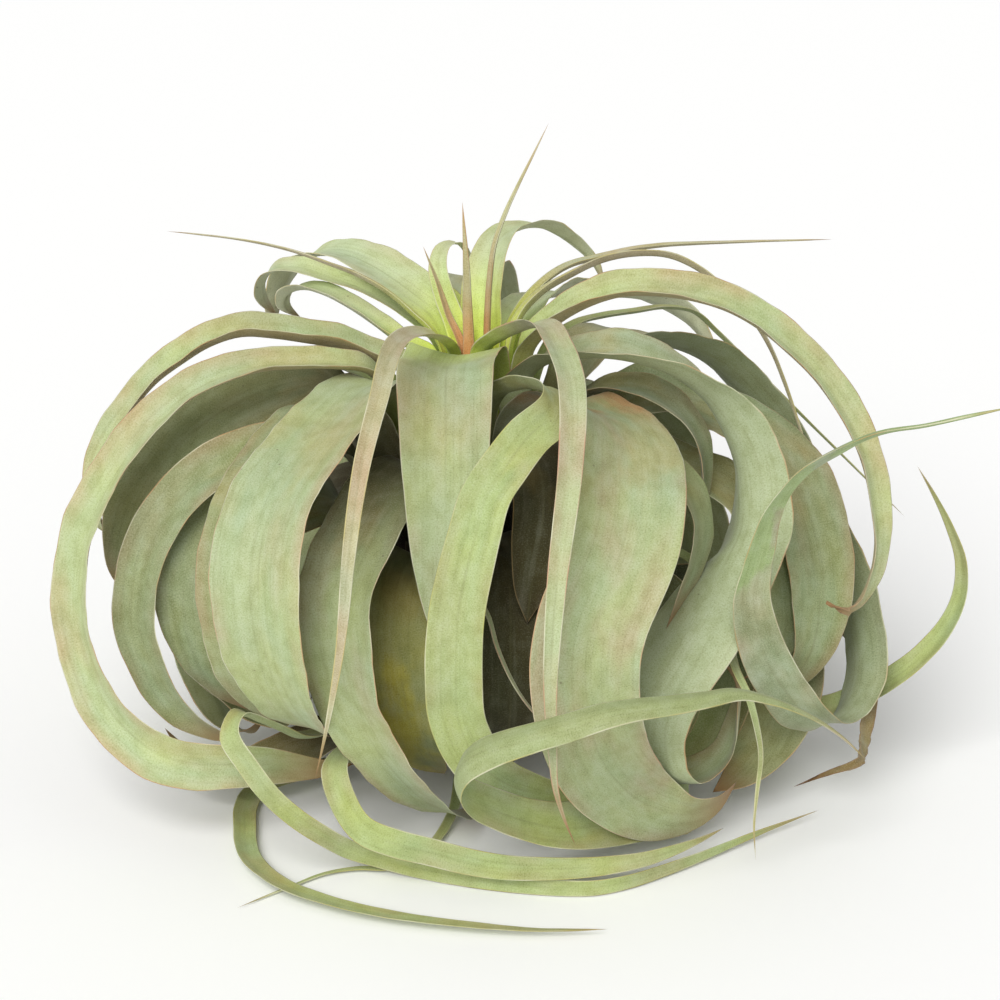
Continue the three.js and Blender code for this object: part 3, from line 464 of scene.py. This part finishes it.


# ---- Old leaves within and behind
# The oldest leaves sit lowest on the stem. They arch out under the younger ones and curl in again,
# grey-green and dull, and dark brown towards the stem, where their sheaths have dried; that dark
# base is drawn far up the blades as painted shade of the rosette's inside.
# Dark base 110 mm up the blade: dried sheath by the stem, painted shade further out.
old_skin = scurfed_leaf(
    "old scurfed leaf", base=0x3d2a15, body=0x929c70, warm=0x9d9c66, blush=0x98896a, under=0x818759,
    base_mm=110, bloom=0.12, fresh=0.7)
make_leaves([f"rear_{k:02d}" for k in range(5, 10)], old_skin, "old_leaf", 5)
back_skin = scurfed_leaf(
    "upper leaf behind", base=0xa6b566, body=0x9eaa82, warm=0xaab074, blush=0xa9987a,
    under=0xa0a87c, margin=0xc09468, base_mm=70, bloom=0.15)
make_leaves([f"rear_{k:02d}" for k in range(1, 5)], back_skin, "old_leaf", 1)
make_leaves(["inner_right_b", "under_right", "deep_left", "low_left"], old_skin, "old_leaf", 12)
# Dark base 135 mm up the blade: dried sheath by the stem, painted shade of the nest further out.
nest_skin = scurfed_leaf(
    "old leaf curled into the nest", base=0x2a2413, body=0x84905f, warm=0x92954f, blush=0x8c7d55,
    under=0x727656, margin=0xb08d5c, base_mm=135, bloom=0.12, dryness=0.4, fresh=0.5)
make_leaves(["nest_right_a", "nest_right_b"], nest_skin, "old_leaf", 16)
# Leaves deep in the rosette are painted near black-brown over the whole blade: painted shade,
# standing for the shade that lies there.
painted_shade_skin = scurfed_leaf(
    "old leaf painted with the shade deep in the rosette", base=0x221708, body=0x413f22, warm=0x4c421e, blush=0x483a22,
    under=0x3b3721, margin=0x8f7448, base_mm=105, dryness=0, bloom=0.08, tan=0.2, fresh=0.1)
make_leaves(["inner_front_b", "inner_front_d"], painted_shade_skin, "old_leaf", 18)
gold_skin = scurfed_leaf(
    "old leaf with a golden end", base=0x46321a, body=0x8a915c, warm=0xa0984e, blush=0x98896a,
    under=0x7d7b5c, base_mm=64, dryness=0.4, bloom=0.1, fresh=0.3,
    patches=[(90, 215, 0xb4a83e, 0.75)])
make_leaves(["inner_front_a"], gold_skin, "old_leaf", 21)

# ---- Layers at the sides
# Broad grey-green blades that nest inside one another at the left and the right, their margins
# thin, tan and slightly raised.
# The dark base, 78 mm up the blade, is dried sheath by the stem and painted shade where the layers
# nest further out.
side_skin = scurfed_leaf(
    "broad scurfed leaf", base=0x54462a, body=0x919d73, warm=0x9c9f62, blush=0xa38e6c,
    under=0x9c9774, margin=0xc09468, base_mm=78)
# The darker green stretch from 285 to 392 mm is painted shade on the inner side of its loop; from
# 385 mm on lies its fresh green end.
sweep_skin = scurfed_leaf(
    "broad leaf with a fresh green end", base=0x6f5d36, body=0x9fa98a, warm=0xa9aa78,
    blush=0xa8947a, under=0x9aa57c, margin=0xb79a66, base_mm=70, dryness=0,
    patches=[(285, 392, 0x7b8a5e, 0.55), (385, 900, 0x9aae74, 2.0)])
make_leaves(["sweep_right"], sweep_skin, "old_leaf", 23)
make_leaves(["layer_right", "inner_right", "inner_right_a", "round_left", "cup_left",
             "curl_low_left", "layer_front_left"], side_skin, "old_leaf", 24)

# ---- Broad leaves in front
# The widest blades. They leave the crown, fold over and fall in front, pale sage with silver bloom,
# yellower where the light has caught them.
front_skin = scurfed_leaf(
    "broad sage leaf", base=0xc4d662, body=0xa9b68a, warm=0xb4bc74, blush=0xb3a282, under=0x96967a,
    margin=0xc79c76, base_mm=74, tan=0.2)
make_leaves(["broad_front", "broad_front_left"], front_skin, "leaf", 34)
# A dark base 165 mm up the blade: dried sheath by the stem, then painted shade where the leaf above
# shades its top.
sheath_and_shade_skin = scurfed_leaf(
    "broad sage leaf, dark with painted shade and its sheath", base=0x5a5230, body=0xa9b68a, warm=0xb4bc74,
    blush=0xb3a282, under=0x96967a, margin=0xc79c76, base_mm=165)
make_leaves(["under_front_left"], sheath_and_shade_skin, "leaf", 36)
# Its underside is painted pale: partly its own colour, partly painted light on a face turned from
# the lamp.
rolled_skin = scurfed_leaf(
    "broad sage leaf, rolled over", base=0xa9b066, body=0xa6b18c, warm=0xafb478, blush=0xae9c7c,
    under=0xb2bd94, margin=0xb98e62, base_mm=45, blushing=0.3)
make_leaves(["curl_right"], rolled_skin, "leaf", 37)
tanned_skin = scurfed_leaf(
    "broad leaf, tanned at its fold", base=0xa3a668, body=0xa4b184, warm=0xadb276, blush=0xb09a7e,
    under=0x9a9a7c, margin=0xc79c76, blushing=0.6, base_mm=45, patches=[(48, 96, 0xc08a55, 0.75)])
make_leaves(["broad_front_right"], tanned_skin, "leaf", 40)
ribbon_skin = scurfed_leaf(
    "bright twisted leaf", base=0x86875a, body=0xa9b880, warm=0xb3be6e, blush=0xa8a06c,
    under=0xa2ab70, margin=0xb7b56a, warmth=0.6, blushing=0.25, base_mm=70,
    patches=[(60, 125, 0xa39a4c, 0.6)])
make_leaves(["ribbon_front"], ribbon_skin, "leaf", 42)

# ---- Long arches and loops
# Narrower leaves that reach far out before they fall, yellow-green at the crown and silver-green on
# the bend, tan and grey underneath; the undersides are painted paler than that as painted light
# bounced up from the floor.
arch_skin = scurfed_leaf(
    "arching leaf", base=0xd0e060, body=0xb0bd8d, warm=0xbdc67b, blush=0xbf9f79, under=0xc0ab82,
    margin=0xc4966c, tan=0.22)
make_leaves(["arch_left_high", "loop_left"], arch_skin, "leaf", 45)
make_leaves(["arch_right"], arch_skin, "leaf", 48, crinkle=2.2, dried_from=0.93)

# ---- Trailing leaves
# Thin old leaves that droop to the floor and lie along it, round-backed and green, and a few that
# rise again at the right.
trail_skin = scurfed_leaf(
    "trailing leaf", base=0x76814a, body=0xa6b57c, warm=0xb5bf68, blush=0xaaa278, under=0x9aa574,
    margin=0xb9b070, warmth=0.7, blushing=0.15, bloom=0.15, dryness=0.6)
make_leaves(["trail_front_a", "trail_front_b", "trail_front_c", "trail_front_d", "trail_right",
             "thin_back_right", "hang_low_right", "tail_cross"],
            trail_skin, "old_leaf", 50, waves=0.6)
dry_skin = scurfed_leaf(
    "dried leaf", base=0x6f6b3c, body=0x8f8a58, warm=0x9a7c4a, blush=0x7c5e40, under=0x7d7450,
    margin=0x94704a, warmth=0.9, blushing=0.7, dry=0x6b4c2e, fresh=0.2)
make_leaves(["dry_tip_right"], dry_skin, "dry_leaf", 60, crinkle=1.4)

# ---- Thin rosy leaves
# Narrow leaves of the younger whorls, rosy tan with darker lengthwise streaks and yellow-green
# margins. Some hang straight down in front, some reach out level from the crown.
rosy_skin = scurfed_leaf(
    "thin rosy leaf", base=0xc9d650, body=0xb9b491, warm=0xbbb886, blush=0xb69f80, under=0xbeb294,
    margin=0xc4b878, base_mm=76, warmth=0.5, blushing=0.7, tan=0.25)
make_leaves(["hang_left", "arm_long_right", "arm_drop_right", "crown_left_pink"], rosy_skin,
            "young_leaf", 63, waves=0.5)
sage_skin = scurfed_leaf(
    "hanging sage leaf", base=0xc4d652, body=0xb0bb90, warm=0xb8bd84, blush=0xb8a286,
    under=0xb4b094, margin=0xc6967a, base_mm=76, blushing=0.5, tan=0.25)
make_leaves(["hang_right", "inner_front_c"], sage_skin, "young_leaf", 67, waves=0.5)

# ---- Young crown
# The newest leaves stand in the middle. They are lime green at the base and silver higher up, and
# the last spikes are still narrow and orange-pink where they leave the crown.
# The undersides' pale colour is partly their own and partly painted light, for light bounced up
# from the floor.
crown_skin = scurfed_leaf(
    "young crown leaf", base=0xdff05a, body=0xc3d1a2, warm=0xcbd68e, blush=0xc5be98, under=0xd2d4b8,
    margin=0xc9b47c, base_mm=68, blushing=0.25, tan=0.12)
make_leaves(["inner_hook", "inner_back", "back_broad", "crown_left_broad", "crown_left_hook",
             "crown_left_low"], crown_skin, "young_leaf", 70)
spike_skin = scurfed_leaf(
    "young spike", base=0xee9c5c, body=0xbdb88e, warm=0xc0bc88, blush=0xbf9c74, under=0xbab286,
    margin=0xc49a68, base_mm=54, blushing=0.6, dryness=0.4, tan=0)
make_leaves(["spike_tall", "spike_mid", "spike_short"], spike_skin, "young_leaf", 77, waves=0.3)

# ---- Floor
# A matt white sweep under the plant, which only carries its soft shadow.
FLOOR_RADIUS = 30.0        # far enough out that a low view sees no edge
FLOOR_SIDES = 64
FLOOR_WHITE = 0xfdfdfc


def make_floor():
    material, tree, output = new_material("matt white sweep")
    shader = add(tree, "ShaderNodeBsdfPrincipled", [("Base Color", linear(FLOOR_WHITE)),
                                                    ("Roughness", 0.95)])
    tree.links.new(shader.outputs[0], output.inputs["Surface"])
    mesh = bpy.data.meshes.new("floor")
    corners = [(FLOOR_RADIUS * math.cos(a), FLOOR_RADIUS * math.sin(a), 0)
               for a in np.linspace(0, 2 * math.pi, FLOOR_SIDES, endpoint=False)]
    mesh.from_pydata(corners, [], [tuple(range(FLOOR_SIDES))])
    mesh.materials.append(material)
    floor = bpy.data.objects.new("floor", mesh)
    bpy.context.collection.objects.link(floor)


make_floor()

# ---- Studio light and camera
# A very wide soft light high in front and a little to the left, as from a studio's ceiling cloth,
# and a dimmer white room all round.
SUN_TILT = (45, -20)       # degrees off straight down, towards the back and from the left
SUN_WIDE = 40              # degrees across, for shadows as soft as a large cloth gives
SUN_STRENGTH = 2.5
ROOM_STRENGTH = 0.5
CAMERA_TILT = 22           # degrees below level
CAMERA_AIM = (0.012, -0.020, 0.120)
CAMERA_FAR = 1.1
CAMERA_LENS = 99           # mm, on the sensor below
CAMERA_SENSOR = 36

ceiling = bpy.data.lights.new("ceiling cloth", "SUN")
ceiling.energy = SUN_STRENGTH
ceiling.angle = math.radians(SUN_WIDE)
lamp = bpy.data.objects.new("ceiling cloth", ceiling)
lamp.rotation_euler = (math.radians(SUN_TILT[0]), math.radians(SUN_TILT[1]), 0)
bpy.context.collection.objects.link(lamp)

world = bpy.data.worlds.new("white room")
bpy.context.scene.world = world
world.use_nodes = True
world.node_tree.nodes["Background"].inputs["Color"].default_value = (1, 1, 1, 1)
world.node_tree.nodes["Background"].inputs["Strength"].default_value = ROOM_STRENGTH
bpy.context.scene.view_settings.view_transform = "Standard"

tilt = math.radians(CAMERA_TILT)
camera = bpy.data.objects.new("camera", bpy.data.cameras.new("camera"))
camera.data.lens = CAMERA_LENS
camera.data.sensor_width = CAMERA_SENSOR
camera.location = (CAMERA_AIM[0], CAMERA_AIM[1] - CAMERA_FAR * math.cos(tilt),
                   CAMERA_AIM[2] + CAMERA_FAR * math.sin(tilt))
camera.rotation_euler = (math.pi / 2 - tilt, 0, 0)
bpy.context.collection.objects.link(camera)
bpy.context.scene.camera = camera
